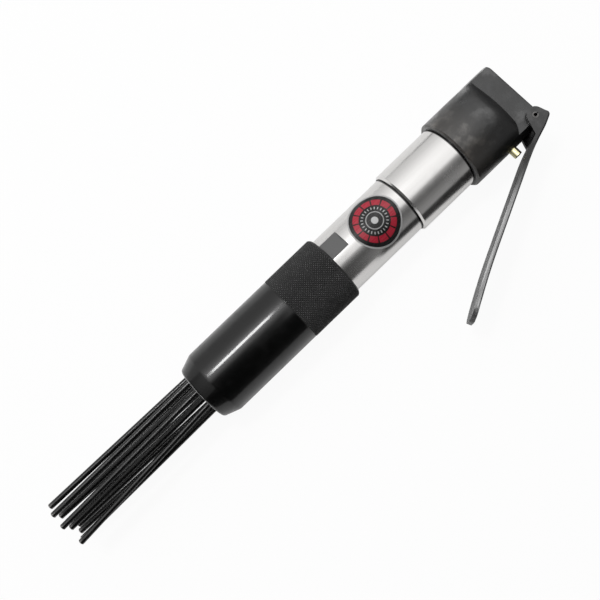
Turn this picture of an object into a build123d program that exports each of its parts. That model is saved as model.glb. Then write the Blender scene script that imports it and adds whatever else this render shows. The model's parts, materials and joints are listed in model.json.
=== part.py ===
from build123d import *
import math
import os

# Straight air needle scaler with a squeeze lever. All lengths in millimetres, all angles in degrees.
# The origin is the centre of the air inlet's mouth, in the rear face of the throttle head.
# +X runs along the tool towards the needles, +Y towards the lever, +Z up when the tool lies on its side.

# Throttle head: a round casting whose rear end is flattened to a tongue
head_radius = 20.0
head_length = 44.15
head_lip_chamfer = 1.0
tongue_length = 12.1
tongue_thickness = 18.0
tongue_corner_radius = 4.0
tongue_side_inset = 0.6
tongue_side_run = 7.3
tongue_edge_round = 0.7
lug_corner_radius = 3.5
lever_relief_depth = 0.6
lever_relief_length = 13.0
shoulder_run = 10.0
shoulder_foot = 0.8
shoulder_steps = 6
cheek_relief_start = 6.1
cheek_relief_radius = 22.0
cheek_relief_overlap = 0.2

# Air inlet, for a quarter inch pipe thread
inlet_radius = 5.72
inlet_depth = 13.0
feed_radius = 4.2
screen_thickness = 0.8
screen_hole_radius = 0.5
screen_ring_pitch = 1.7
screen_ring_holes = 6
screen_ledge = 0.6
feed_wall = 0.6

# Throttle valve, in a bore across the head
stem_radius = 2.25
stem_projection = 4.0
stem_chamfer = 0.15
stem_stroke = 3.0
stem_seal_depth = 7.0
seat_y = 3.0
gallery_radius = 3.2
gallery_length = 5.0
outlet_radius = 2.2
chamber_radius = 5.2
valve_head_radius = 4.2
valve_head_thickness = 2.0
valve_seal_thickness = 1.6
spring_pilot_radius = 2.1
spring_pilot_length = 1.6
valve_spring_reserve = 2.5
valve_spring_radius = 3.0
valve_spring_wire = 0.8
valve_spring_turns = 5
plug_flange_step = 1.1
plug_flange_thickness = 2.4
plug_sink = 1.7
plug_socket_width = 5.0
plug_socket_depth = 3.4

# Lever
pivot_rear_inset = 3.5
pivot_side_inset = 3.4
pin_radius = 1.6
pin_bore_radius = 0.9
pin_slot_width = 0.5
lever_angle = 25.2
lever_thickness = 2.4
lever_seat_gap = 1.25
lever_tail_length = 3.8
lever_tail_round = 1.9
lever_heel_start = 2.7
lever_heel_run = 12.8
lever_heel_drop = 1.68
lever_heel_radius = 30.0
lever_waist_radius = 100.0
lever_blade_length = 64.5
lever_bend_angle = 3.6
lever_bend_radius = 400.0
lever_tip_length = 25.4
lever_tip_corner = 8.0
lever_edge_round = 0.9
ear_radius = 4.3
cheek_length = 9.2

# Valve chest, between the floor of the head's cavity and the barrel
cavity_floor_wall = 1.4
cap_length = 3.5
cap_recess_radius = 10.5
cap_recess_depth = 1.0
cap_hole_radius = 1.3
cap_hole_circle = 8.0
cap_hole_count = 6
block_length = 5.0
block_bore_radius = 3.5
plate_radius = 9.3
plate_thickness = 1.0
plate_float = 0.25
dowel_radius = 1.0
dowel_cap_depth = 2.0
dowel_barrel_depth = 3.0
dowel_angle = 135.0

# Barrel
barrel_radius = 16.2
bore_radius = 10.0
barrel_shoulder = 1.5
barrel_exposed_length = 45.0
barrel_insert = 34.3
barrel_chamfer = 0.6
passage_radius = 1.1
passage_angles = (45.0, 225.0)
passage_front_gap = 4.0
port_radius = 2.2
port_count = 4
port_inset = 15.0
wrench_flat_width = 30.6
wrench_flat_rear = 10.5
wrench_flat_length = 11.7
wrench_flat_angle = 110.0

# Exhaust sleeve, held by its inturned rear flange
exhaust_gap = 0.35
sleeve_wall = 1.05
sleeve_edge_chamfer = 0.9
sleeve_length = 37.05
sleeve_flange = 1.2
sleeve_insert = 2.6

# Round sticker on the barrel
label_radius = 13.25
label_thickness = 0.2
label_offset = 17.6

# Hammer and anvil
piston_length = 40.0
piston_stroke = 38.0
piston_groove_depth = 0.5
piston_groove_width = 1.5
piston_groove_count = 3
piston_groove_pitch = 9.0
piston_chamfer = 1.0
impact_gap = 0.5
anvil_side_gap = 1.2
anvil_collar_length = 6.0
anvil_waist_radius = 10.0
anvil_face_length = 7.0
anvil_chamfer = 0.8

# Nose sleeve
nose_length = 89.8
nose_wall = 2.05
knurl_height = 0.25
knurl_length = 30.5
nose_rear_chamfer_length = 1.2
nose_rear_wall = 1.1
nose_taper_length = 8.4
nose_taper_height = 2.75
nose_front_round = 0.8
nose_front_wall = 4.8
nose_opening_gap = 0.6

# Needles and holder
needle_radius = 1.5
needle_length = 125.0
needle_reach = 90.4
needle_head_radius = 2.1
needle_head_length = 3.0
needle_head_taper = 0.6
needle_tip_chamfer = 0.3
needle_wear = 1.1
needle_float = 1.5
outer_count = 9
inner_count = 3
outer_root_circle = 9.85
inner_root_circle = 3.6
outer_tip_circle = 11.1
inner_tip_circle = 4.3
outer_start_angle = 99.0
inner_start_angle = 51.0
bundle_twist = -20.0
bundle_drift = -0.8
wear_step = 42.0
wear_phase = 196.0
holder_web = 2.2
holder_hub_length = 4.5
holder_hub_wall = 0.57
return_spring_wire = 1.9
return_spring_turns = 5
return_spring_side_gap = 0.5

# How far the tips of bent needles stray along Y and Z, by the needle's number
stray_tips = {4: (5.0, 0.0), 6: (1.5, 0.0), 7: (-1.5, 1.5), 9: (4.0, -1.5)}

# Clearances
running_clearance = 0.05
thread_clearance = 0.05
needle_clearance = 0.08
seal_clearance = 0.04
press_clearance = 0.01
seat_clearance = 0.1
side_clearance = 0.3
seal_section = 0.85
plug_seal_section = 0.72
barrel_seal_section = 0.6
overshoot = 1.0
pick_tolerance = 0.2
coil_samples = 24

# Radii that follow from the fits
cavity_radius = barrel_radius - barrel_shoulder
passage_circle = (bore_radius + cavity_radius) / 2
sleeve_radius = barrel_radius + exhaust_gap + sleeve_wall
nose_radius = barrel_radius + nose_wall
knurl_radius = nose_radius + knurl_height
nose_rear_radius = barrel_radius + nose_rear_wall
nose_front_radius = nose_radius - nose_taper_height
plug_flange_radius = chamber_radius + plug_flange_step
holder_hub_radius = outer_root_circle + needle_radius + needle_clearance + holder_hub_wall
return_spring_radius = holder_hub_radius + side_clearance + return_spring_wire / 2
nose_chamber_radius = return_spring_radius + return_spring_wire / 2 + return_spring_side_gap
anvil_collar_radius = nose_chamber_radius - anvil_side_gap

# Stations along X
valve_x = inlet_depth + screen_thickness + feed_wall + chamber_radius
shoulder_front_x = tongue_length + shoulder_run
cavity_floor_x = valve_x + chamber_radius + cavity_floor_wall
block_x = cavity_floor_x + cap_length
barrel_rear_x = block_x + block_length
sleeve_seat_x = head_length - sleeve_insert
barrel_shoulder_x = sleeve_seat_x + sleeve_flange
sleeve_front_x = sleeve_seat_x + sleeve_length
barrel_seal_x = (barrel_rear_x + sleeve_seat_x) / 2
port_x = sleeve_front_x - port_inset
label_x = sleeve_front_x + label_offset
nose_rear_x = sleeve_front_x + barrel_exposed_length
barrel_front_x = nose_rear_x + barrel_insert
nose_front_x = nose_rear_x + nose_length
spring_seat_x = nose_front_x - nose_front_wall
needle_head_x = nose_front_x + needle_reach - needle_length
piston_x = barrel_rear_x + impact_gap
anvil_rear_x = piston_x + piston_length + piston_stroke + impact_gap
passage_end_x = anvil_rear_x - passage_front_gap
anvil_front_x = needle_head_x - seat_clearance
holder_pocket_depth = needle_head_length + needle_float + seat_clearance
holder_flange_front_x = needle_head_x + holder_pocket_depth + holder_web
holder_front_x = holder_flange_front_x + holder_hub_length

# Stations along Y in the valve bore, from the lever side down to the plug
valve_spring_length = stem_stroke + (valve_spring_turns + 1) * valve_spring_wire + valve_spring_reserve
stem_top_y = head_radius + stem_projection
gallery_top_y = seat_y + gallery_length
stem_seal_y = head_radius - stem_seal_depth
valve_seal_top_y = seat_y - seat_clearance
valve_head_top_y = valve_seal_top_y - valve_seal_thickness
valve_head_bottom_y = valve_head_top_y - valve_head_thickness
plug_inner_y = valve_head_bottom_y - valve_spring_length
plug_outer_y = plug_sink - head_radius
plug_flange_y = plug_outer_y + plug_flange_thickness

# Lever frame: u along the blade from the pivot, v outwards, away from the body
pivot = (pivot_rear_inset, head_radius - pivot_side_inset)
blade_inner_v = pivot_side_inset - lever_relief_depth + lever_seat_gap
blade_heel_v = blade_inner_v + lever_thickness / 2
blade_outer_v = blade_inner_v + lever_thickness
cheek_inner_z = tongue_thickness / 2 + side_clearance
lever_half_width = cheek_inner_z + lever_thickness
lever_plane = Plane(
    origin=(pivot[0], pivot[1], 0),
    x_dir=(math.cos(math.radians(lever_angle)), math.sin(math.radians(lever_angle)), 0),
    z_dir=(0, 0, 1),
)


def turned(*points):
    """Solid turned about the X axis from (x, radius) corners."""
    return revolve(make_face(Polyline(*points, close=True)), Axis.X)


def tube(outer, inner, start, end):
    """Plain tube on the X axis."""
    return turned((start, inner), (end, inner), (end, outer), (start, outer))


def rod(radius, start, end):
    """Cylinder from one point to another."""
    along = Vector(*end) - Vector(*start)
    base = Plane(origin=start, z_dir=along)
    return base * Cylinder(radius, along.length, align=(Align.CENTER, Align.CENTER, Align.MIN))


def bar(radius, start_x, end_x, y=0.0, z=0.0):
    """Cylinder along X."""
    return rod(radius, (start_x, y, z), (end_x, y, z))


def cross_bar(radius, start_y, end_y):
    """Cylinder on the valve bore's axis, along Y."""
    return rod(radius, (valve_x, start_y, 0), (valve_x, end_y, 0))


def around(circle, angle):
    """Y and Z of a point on a circle about the X axis, with the angle counted from +Y towards +Z."""
    return circle * math.cos(math.radians(angle)), circle * math.sin(math.radians(angle))


def ring_on_x(x, inner, section):
    """O-ring about the X axis with the given inner radius and section radius."""
    return Plane(origin=(x, 0, 0), z_dir=(1, 0, 0)) * Torus(inner + section, section)


def ring_on_valve(y, inner, section):
    """O-ring about the valve bore's axis."""
    return Plane(origin=(valve_x, y, 0), z_dir=(0, 1, 0)) * Torus(inner + section, section)


def biarc(start, start_tangent, end, end_tangent):
    """Two arcs that leave start and reach end along the given unit tangents."""
    chord = end - start
    tangents = start_tangent + end_tangent
    bend = 2 * (1 - start_tangent.dot(end_tangent))
    lean = chord.dot(tangents)
    reach = (math.sqrt(lean * lean + bend * chord.dot(chord)) - lean) / bend
    first_handle = start + start_tangent * reach
    second_handle = end - end_tangent * reach
    middle = (first_handle + second_handle) / 2
    return [
        TangentArc(start, middle, tangent=start_tangent),
        TangentArc(middle, end, tangent=second_handle - first_handle),
    ]


def coil(name, plane, radius, wire, length, turns):
    """Coil spring that stands on a plane: a helix of half turn biarcs swept by the wire's circle."""
    rise = (length - wire - 2 * seal_clearance) / turns
    slope = rise / (2 * math.pi * radius)
    scale = math.hypot(1.0, slope)

    def point(turn):
        angle = 2 * math.pi * turn
        height = wire / 2 + seal_clearance + rise * turn
        return Vector(radius * math.cos(angle), radius * math.sin(angle), height)

    def tangent(turn):
        angle = 2 * math.pi * turn
        return Vector(-math.sin(angle), math.cos(angle), slope) / scale

    path = []
    for half in range(2 * turns):
        a, b = half / 2, (half + 1) / 2
        path += biarc(point(a), tangent(a), point(b), tangent(b))
    steps = range(turns * coil_samples)
    gap = min((point(a / coil_samples) - point(b / coil_samples)).length - wire
              for a in steps for b in steps if b - a > coil_samples / 2)
    print(name, "least gap between turns", round(gap, 2))
    section = Plane(origin=point(0), z_dir=tangent(0)) * Circle(wire / 2)
    return plane * sweep(section, path=Wire([arc.edge() for arc in path]))


def flat_segment(x, rise):
    """Face square to the X axis: the circular segment that stands on the upper tongue flat."""
    flat = tongue_thickness / 2
    half_chord = math.sqrt(head_radius * head_radius - flat * flat)
    arc = ThreePointArc((-half_chord, flat), (0, flat + rise), (half_chord, flat))
    outline = arc + Line((half_chord, flat), (-half_chord, flat))
    return Plane(origin=(x, 0, 0), x_dir=(0, 1, 0), z_dir=(1, 0, 0)) * make_face(outline)


def shoulder():
    """Rounded shoulder on the upper flat: from a low wall its rise follows a quarter of an ellipse."""
    full_rise = head_radius - tongue_thickness / 2
    sections = []
    for step in range(shoulder_steps + 1):
        angle = math.radians(90.0 * step / shoulder_steps)
        x = tongue_length + shoulder_run * (1 - math.cos(angle))
        sections.append(flat_segment(x, shoulder_foot + (full_rise - shoulder_foot) * math.sin(angle)))
    return loft(sections)


def tongue_space():
    """Space above the upper flat, as far as the full round."""
    reach = head_radius + overshoot
    size = (shoulder_front_x + overshoot, 2 * reach, reach)
    return Pos(-overshoot, 0, tongue_thickness / 2) * Box(*size, align=(Align.MIN, Align.CENTER, Align.MIN))


def cheek_relief():
    """Space above the upper flat that curves away beside a lever cheek."""
    curve_start = (tongue_length - cheek_relief_overlap, cheek_relief_start)
    curve = JernArc(curve_start, (0, 1), cheek_relief_radius, -90)
    rest = Polyline(curve @ 1, (-overshoot, (curve @ 1).Y), (-overshoot, cheek_relief_start), curve_start)
    return Pos(0, 0, tongue_thickness / 2) * extrude(make_face(curve + rest), head_radius)


def on_side(shape, side):
    """The shape as it is, or its mirror image on the lower flat where the side is negative."""
    return shape if side > 0 else mirror(shape, about=Plane.XY)


def head_plan():
    """Prism of the head's outline from above: rounded rear corners, lever relief and inset tongue side."""
    side = head_radius + overshoot
    relief_y = head_radius - lever_relief_depth
    inset_y = tongue_side_inset - head_radius
    outline = Polyline(
        (head_length + overshoot, -side), (head_length + overshoot, side), (lever_relief_length, side),
        (lever_relief_length, relief_y), (0, relief_y), (0, inset_y), (tongue_length, inset_y),
        (tongue_length + tongue_side_run, -side), close=True,
    )
    plan = make_face(outline)
    rear = plan.vertices().filter_by_position(Axis.X, -overshoot / 2, overshoot / 2).sort_by(Axis.Y)
    plan = fillet(rear[-1], lug_corner_radius)
    rear = plan.vertices().filter_by_position(Axis.X, -overshoot / 2, overshoot / 2).sort_by(Axis.Y)
    plan = fillet(rear[0], tongue_corner_radius)
    return extrude(plan, head_radius + overshoot, both=True)


def head_casting():
    """Outside of the throttle head."""
    lip_radius = head_radius - head_lip_chamfer
    body = turned((0, 0), (0, head_radius), (head_length - head_lip_chamfer, head_radius),
                  (head_length, lip_radius), (head_length, 0))
    for side in (1, -1):
        body -= on_side(tongue_space(), side)
        body += on_side(shoulder(), side)
        body -= on_side(cheek_relief(), side)
    body &= head_plan()
    rear_edges = body.edges().filter_by_position(Axis.X, -overshoot / 2, overshoot / 4)
    return fillet(rear_edges, tongue_edge_round)


def throttle_housing():
    """Throttle head with its inlet, valve bore, lever pin hole and barrel cavity."""
    head = head_casting()
    head -= bar(inlet_radius, -overshoot, inlet_depth)
    head -= bar(feed_radius + screen_ledge, 0, inlet_depth + screen_thickness)
    head -= bar(feed_radius, 0, valve_x)
    head -= cross_bar(stem_radius + running_clearance, 0, head_radius + overshoot)
    groove = seal_section + seal_clearance
    groove_radius = stem_radius + running_clearance + 2 * groove
    head -= cross_bar(groove_radius, stem_seal_y - groove, stem_seal_y + groove)
    head -= cross_bar(gallery_radius, seat_y, gallery_top_y)
    head -= cross_bar(chamber_radius, -head_radius - overshoot, seat_y)
    head -= cross_bar(plug_flange_radius + thread_clearance, -head_radius - overshoot, plug_flange_y)
    head -= bar(outlet_radius, valve_x, cavity_floor_x + overshoot, y=seat_y + gallery_length / 2)
    head -= rod(pin_radius + press_clearance, (*pivot, -tongue_thickness), (*pivot, tongue_thickness))
    head -= bar(cavity_radius, cavity_floor_x, head_length + overshoot)
    head -= bar(sleeve_radius + thread_clearance, sleeve_seat_x, head_length + overshoot)
    seal_groove = barrel_seal_section + seal_clearance
    head -= bar(cavity_radius + 2 * seal_groove, barrel_seal_x - seal_groove, barrel_seal_x + seal_groove)
    return head


def inlet_screen():
    """Perforated disc below the inlet thread, with rings of six, twelve and so on holes."""
    front_x = inlet_depth + screen_thickness
    disc = bar(feed_radius + screen_ledge - thread_clearance, inlet_depth, front_x)
    rings = int((feed_radius - screen_hole_radius) / screen_ring_pitch)
    for ring in range(rings + 1):
        holes = max(1, screen_ring_holes * ring)
        for hole in range(holes):
            y, z = around(ring * screen_ring_pitch, 360.0 * hole / holes)
            disc -= bar(screen_hole_radius, inlet_depth - overshoot, front_x + overshoot, y, z)
    return disc


def valve_stem():
    """Brass push pin with the valve's head and the spring's pilot turned on it."""
    pilot_y = valve_head_bottom_y - spring_pilot_length
    outline = Polyline(
        (0, pilot_y), (spring_pilot_radius, pilot_y), (spring_pilot_radius, valve_head_bottom_y),
        (valve_head_radius, valve_head_bottom_y), (valve_head_radius, valve_head_top_y),
        (stem_radius, valve_head_top_y), (stem_radius, stem_top_y - stem_chamfer),
        (stem_radius - stem_chamfer, stem_top_y), (0, stem_top_y), close=True,
    )
    return Pos(valve_x, 0, 0) * revolve(make_face(outline), Axis.Y)


def valve_seal():
    """Rubber face washer that lies on the valve's head."""
    washer = cross_bar(valve_head_radius, valve_head_top_y, valve_seal_top_y)
    hole = cross_bar(stem_radius + seal_clearance, valve_head_top_y - overshoot, seat_y + overshoot)
    return washer - hole


def stem_seal():
    """O-ring in the head, round the valve stem."""
    return ring_on_valve(stem_seal_y, stem_radius + running_clearance, seal_section)


def valve_spring():
    """Spring between the valve's head and the plug."""
    foot = Plane(origin=(valve_x, plug_inner_y, 0), z_dir=(0, 1, 0))
    return coil("valve_spring", foot, valve_spring_radius, valve_spring_wire, valve_spring_length,
                valve_spring_turns)


def plug_seal_seat():
    """Y of the plug's O-ring and the half width of its groove."""
    half = plug_seal_section + seal_clearance
    return plug_flange_y + 2 * half, half


def valve_plug():
    """Screw plug with a flange, a seal groove and a hexagon socket."""
    shank_radius = chamber_radius - thread_clearance
    seal_y, half = plug_seal_seat()
    plug = cross_bar(plug_flange_radius, plug_outer_y, plug_flange_y)
    plug += cross_bar(shank_radius, plug_flange_y, plug_inner_y)
    groove = cross_bar(chamber_radius, seal_y - half, seal_y + half)
    core = cross_bar(chamber_radius - 2 * half, seal_y - half - overshoot, seal_y + half + overshoot)
    plug -= groove - core
    mouth = Plane(origin=(valve_x, plug_outer_y, 0), z_dir=(0, 1, 0))
    hexagon = RegularPolygon(plug_socket_width / 2, 6, major_radius=False)
    return plug - extrude(mouth * hexagon, plug_socket_depth)


def plug_seal():
    """O-ring on the plug's shank."""
    seal_y, half = plug_seal_seat()
    return ring_on_valve(seal_y, chamber_radius - half - plug_seal_section, plug_seal_section)


def lever_line():
    """Middle line of the blade: a level tail, a heel that drops, the long blade and its bent tip."""
    heel = (lever_heel_start, blade_heel_v)
    waist = (heel[0] + lever_heel_run, heel[1] - lever_heel_drop)
    bend = (waist[0] + lever_blade_length, waist[1])
    tip_rise = math.radians(lever_bend_angle)
    tip = (bend[0] + lever_tip_length * math.cos(tip_rise), bend[1] + lever_tip_length * math.sin(tip_rise))
    radii = (lever_heel_radius, lever_waist_radius, lever_bend_radius)
    return FilletPolyline((-lever_tail_length, blade_heel_v), heel, waist, bend, tip, radius=radii)


def tail_corner():
    """Cutter that rounds the outer corner of the lever's tail."""
    reach = lever_tail_round + overshoot
    block = Box(reach, reach, 2 * lever_half_width + overshoot, align=(Align.MAX, Align.MIN, Align.CENTER))
    corner = block - Cylinder(lever_tail_round, 2 * lever_half_width + 2 * overshoot)
    return Pos(lever_tail_round - lever_tail_length, blade_outer_v - lever_tail_round) * corner


def lever_blade():
    """Blade: a strip with two rounded edges along the lever's line, rounded at its tip and tail."""
    line = lever_line()
    strip = Rectangle(2 * lever_half_width, lever_thickness)
    strip = fillet(strip.vertices().group_by(Axis.Y)[-1], lever_edge_round)
    tail_plane = Plane(origin=line @ 0, x_dir=(0, 0, -1), z_dir=line % 0)
    blade = sweep(tail_plane * strip, path=line) - tail_corner()
    plan = Rectangle((line @ 1).X + lever_tail_length, 2 * lever_half_width, align=(Align.MIN, Align.CENTER))
    plan = fillet(plan.vertices().group_by(Axis.X)[-1], lever_tip_corner)
    plan = Plane(origin=(-lever_tail_length, 0, 0), x_dir=(1, 0, 0), z_dir=(0, -1, 0)) * plan
    return blade & extrude(plan, lever_blade_length, both=True)


def lever_cheek():
    """Cheek folded from the blade: the hull of the ear, the blade's tail and a line across its heel."""
    top_v = blade_outer_v - lever_edge_round
    tail = Pos(lever_tail_round - lever_tail_length, top_v - lever_tail_round) * Circle(lever_tail_round)
    drop = lever_heel_drop * (cheek_length - lever_heel_start) / lever_heel_run
    front = Line((cheek_length, blade_inner_v - drop), (cheek_length, top_v - drop))
    hull = make_hull(Circle(ear_radius).edges() + tail.edges() + front.edges())
    return Pos(0, 0, cheek_inner_z) * extrude(hull, lever_thickness)


def throttle_lever():
    """Pressed steel lever with two cheeks that straddle the tongue."""
    cheek = lever_cheek()
    lever = lever_blade() + cheek + mirror(cheek, about=Plane.XY)
    reach = lever_half_width + overshoot
    lever -= rod(pin_radius + running_clearance, (0, 0, -reach), (0, 0, reach))
    return lever_plane * lever


def lever_pin():
    """Hollow slotted spring pin through the cheeks and the tongue."""
    foot, top = (*pivot, -lever_half_width), (*pivot, lever_half_width)
    pin = rod(pin_radius, foot, top) - rod(pin_bore_radius, foot, top)
    slot_align = (Align.MAX, Align.CENTER, Align.CENTER)
    slot = Box(2 * pin_radius, pin_slot_width, 2 * lever_half_width, align=slot_align)
    return pin - Pos(*pivot, 0) * slot


def dowel_hole(start_x, end_x, extra):
    """Cutter on the dowel's axis."""
    y, z = around(passage_circle, dowel_angle)
    return bar(dowel_radius + extra, start_x, end_x, y, z)


def passages(start_x, end_x):
    """Cutters for the two air passages that lead to the front of the piston."""
    places = [around(passage_circle, angle) for angle in passage_angles]
    return Part() + [bar(passage_radius, start_x, end_x, y, z) for y, z in places]


def chest_cap():
    """Rear plate of the valve chest, with a distribution recess and a ring of feed holes."""
    cap = bar(cavity_radius - running_clearance, cavity_floor_x, block_x)
    cap -= bar(cap_recess_radius, cavity_floor_x - overshoot, cavity_floor_x + cap_recess_depth)
    for hole in range(cap_hole_count):
        y, z = around(cap_hole_circle, 360.0 * hole / cap_hole_count)
        cap -= bar(cap_hole_radius, cavity_floor_x, block_x + overshoot, y, z)
    return cap - dowel_hole(block_x - dowel_cap_depth, block_x + overshoot, running_clearance)


def valve_plate():
    """Floating disc that switches the air between the two ends of the piston."""
    rear_x = block_x + plate_float + seal_clearance
    return bar(plate_radius, rear_x, rear_x + plate_thickness)


def chest_block():
    """Front block of the valve chest, with the disc's pocket, the bore's feed and the passages."""
    pocket_depth = plate_thickness + 2 * (plate_float + seal_clearance)
    block = bar(cavity_radius - running_clearance, block_x, barrel_rear_x)
    block -= bar(plate_radius + side_clearance, block_x - overshoot, block_x + pocket_depth)
    block -= bar(block_bore_radius, block_x, barrel_rear_x + overshoot)
    block -= passages(block_x - overshoot, barrel_rear_x + overshoot)
    slot_align = (Align.MIN, Align.MIN, Align.CENTER)
    slot = Box(pocket_depth, passage_circle, 2 * passage_radius, align=slot_align)
    for angle in passage_angles:
        block -= Pos(block_x, 0, 0) * Rot(X=angle) * slot
    return block - dowel_hole(block_x - overshoot, barrel_rear_x + overshoot, running_clearance)


def chest_dowel():
    """Dowel through the cap and the block into the barrel."""
    return dowel_hole(block_x - dowel_cap_depth, barrel_rear_x + dowel_barrel_depth, 0)


def barrel():
    """Cylinder of the hammer, with its rear spigot, wrench flats, air passages and exhaust ports."""
    body = turned(
        (barrel_rear_x, bore_radius), (barrel_rear_x, cavity_radius - thread_clearance),
        (barrel_shoulder_x, cavity_radius - thread_clearance), (barrel_shoulder_x, barrel_radius),
        (barrel_front_x - barrel_chamfer, barrel_radius), (barrel_front_x, barrel_radius - barrel_chamfer),
        (barrel_front_x, bore_radius),
    )
    body -= passages(barrel_rear_x - overshoot, passage_end_x)
    for angle in passage_angles:
        port_start = (passage_end_x - passage_radius, *around(bore_radius - overshoot, angle))
        port_end = (passage_end_x - passage_radius, *around(passage_circle, angle))
        body -= rod(passage_radius, port_start, port_end)
    for port in range(port_count):
        angle = 360.0 * port / port_count
        inner, outer = around(bore_radius - overshoot, angle), around(barrel_radius + overshoot, angle)
        body -= rod(port_radius, (port_x, *inner), (port_x, *outer))
    flat_x = nose_rear_x - wrench_flat_rear
    flat_align = (Align.MIN, Align.MIN, Align.CENTER)
    flat = Box(wrench_flat_length, barrel_radius, 2 * barrel_radius, align=flat_align)
    for angle in (wrench_flat_angle, wrench_flat_angle + 180.0):
        body -= Pos(flat_x, 0, 0) * Rot(X=angle) * Pos(0, wrench_flat_width / 2, 0) * flat
    dowel_end_x = barrel_rear_x + dowel_barrel_depth
    return body - dowel_hole(barrel_rear_x - overshoot, dowel_end_x, running_clearance)


def barrel_seal():
    """O-ring in the head's cavity, round the barrel's spigot."""
    return ring_on_x(barrel_seal_x, cavity_radius, barrel_seal_section)


def exhaust_sleeve():
    """Thin sleeve that leads the exhaust forwards, clamped by its inturned rear flange."""
    inner = sleeve_radius - sleeve_wall
    hole = cavity_radius + thread_clearance
    edge = sleeve_edge_chamfer
    return turned(
        (sleeve_seat_x, hole), (barrel_shoulder_x, hole), (barrel_shoulder_x, inner),
        (sleeve_front_x, inner), (sleeve_front_x, sleeve_radius - edge),
        (sleeve_front_x - edge, sleeve_radius), (sleeve_seat_x, sleeve_radius),
    )


def round_label():
    """Thin round sticker that follows the barrel's curve."""
    inner = barrel_radius + press_clearance
    skin = tube(inner + label_thickness, inner, label_x - 2 * label_radius, label_x + 2 * label_radius)
    return skin & rod(label_radius, (label_x, 0, 0), (label_x, 0, 2 * barrel_radius))


def piston():
    """Hammer with chamfered ends and oil grooves."""
    radius = bore_radius - running_clearance
    front_x = piston_x + piston_length
    body = turned((piston_x, 0), (piston_x, radius - piston_chamfer), (piston_x + piston_chamfer, radius),
                  (front_x - piston_chamfer, radius), (front_x, radius - piston_chamfer), (front_x, 0))
    grooves_length = (piston_groove_count - 1) * piston_groove_pitch + piston_groove_width
    first_x = piston_x + (piston_length - grooves_length) / 2
    floor = radius - piston_groove_depth
    for groove in range(piston_groove_count):
        start_x = first_x + groove * piston_groove_pitch
        body -= tube(radius + overshoot, floor, start_x, start_x + piston_groove_width)
    return body


def anvil():
    """Striker: a shank in the barrel, a collar against its front end and a face for the needle heads."""
    shank = bore_radius - running_clearance
    collar_x = barrel_front_x + seat_clearance
    collar_end = collar_x + anvil_collar_length
    face_x = anvil_front_x - anvil_face_length
    return turned(
        (anvil_rear_x, 0), (anvil_rear_x, shank - anvil_chamfer), (anvil_rear_x + anvil_chamfer, shank),
        (collar_x, shank), (collar_x, anvil_collar_radius), (collar_end, anvil_collar_radius),
        (collar_end + anvil_chamfer, anvil_waist_radius), (face_x - anvil_chamfer, anvil_waist_radius),
        (face_x, anvil_collar_radius), (anvil_front_x, anvil_collar_radius), (anvil_front_x, 0),
    )


def nose_opening_radius():
    """Radius of the nose's front opening, which clears the needle that lies farthest out there."""
    offsets = []
    for index in range(outer_count + inner_count):
        start, direction, _ = needle_line(index)
        place = start + direction * ((nose_front_x - start.X) / direction.X)
        offsets.append(math.hypot(place.Y, place.Z))
    return max(offsets) + needle_radius + nose_opening_gap


def nose_sleeve():
    """Nose: threaded on the barrel at the rear, with the needle opening and spring seat at the front."""
    opening = nose_opening_radius()
    thread = barrel_radius + thread_clearance
    knurl_x = nose_rear_x + nose_rear_chamfer_length
    knurl_end = nose_rear_x + knurl_length
    step = knurl_radius - nose_radius
    taper_x = nose_front_x - nose_taper_length
    return turned(
        (nose_rear_x, thread), (nose_rear_x, nose_rear_radius), (knurl_x, knurl_radius),
        (knurl_end - step, knurl_radius), (knurl_end, nose_radius), (taper_x, nose_radius),
        (nose_front_x - nose_front_round, nose_front_radius),
        (nose_front_x, nose_front_radius - nose_front_round), (nose_front_x, opening),
        (spring_seat_x, opening), (spring_seat_x, nose_chamber_radius),
        (barrel_front_x, nose_chamber_radius), (barrel_front_x, thread),
    )


def needle_line(index):
    """Rear centre of a needle's head, the unit direction of the needle, and its worn length."""
    if index < outer_count:
        angle = outer_start_angle + 360.0 * index / outer_count
        root, tip = outer_root_circle, outer_tip_circle
    else:
        angle = inner_start_angle + 360.0 * (index - outer_count) / inner_count
        root, tip = inner_root_circle, inner_tip_circle
    start = Vector(needle_head_x, *around(root, angle))
    tip_y, tip_z = around(tip, angle + bundle_twist)
    stray_y, stray_z = stray_tips.get(index + 1, (0.0, 0.0))
    end = Vector(needle_head_x + needle_length, tip_y + bundle_drift + stray_y, tip_z + stray_z)
    wear = needle_wear * (1 - math.cos(math.radians(wear_step * index + wear_phase))) / 2
    return start, (end - start).normalized(), needle_length - wear


def along_needle(index, shape):
    """Place a shape that was turned about the X axis on a needle's line."""
    start, direction, _ = needle_line(index)
    return Plane(origin=start, x_dir=direction, z_dir=direction.cross(Vector(0, 1, 0))) * shape


def needle(index):
    """Needle with an upset head and a slightly chamfered tip."""
    length = needle_line(index)[2]
    head_end = needle_head_length - needle_head_taper
    body = turned(
        (seal_clearance, 0), (seal_clearance, needle_head_radius), (head_end, needle_head_radius),
        (needle_head_length, needle_radius), (length - needle_tip_chamfer, needle_radius),
        (length, needle_radius - needle_tip_chamfer), (length, 0),
    )
    return along_needle(index, body)


def needle_holder():
    """Cup for the needle heads, with one slanted hole per needle and a hub inside the return spring."""
    flange_radius = nose_chamber_radius - side_clearance
    pocket_radius = outer_root_circle + needle_head_radius + side_clearance
    web_x = needle_head_x + holder_pocket_depth
    cup = turned(
        (needle_head_x, pocket_radius), (needle_head_x, flange_radius),
        (holder_flange_front_x, flange_radius), (holder_flange_front_x, holder_hub_radius),
        (holder_front_x, holder_hub_radius), (holder_front_x, 0), (web_x, 0), (web_x, pocket_radius),
    )
    hole_end = holder_front_x - needle_head_x + overshoot
    for index in range(outer_count + inner_count):
        cup -= along_needle(index, bar(needle_radius + needle_clearance, 0, hole_end))
    return cup


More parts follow.
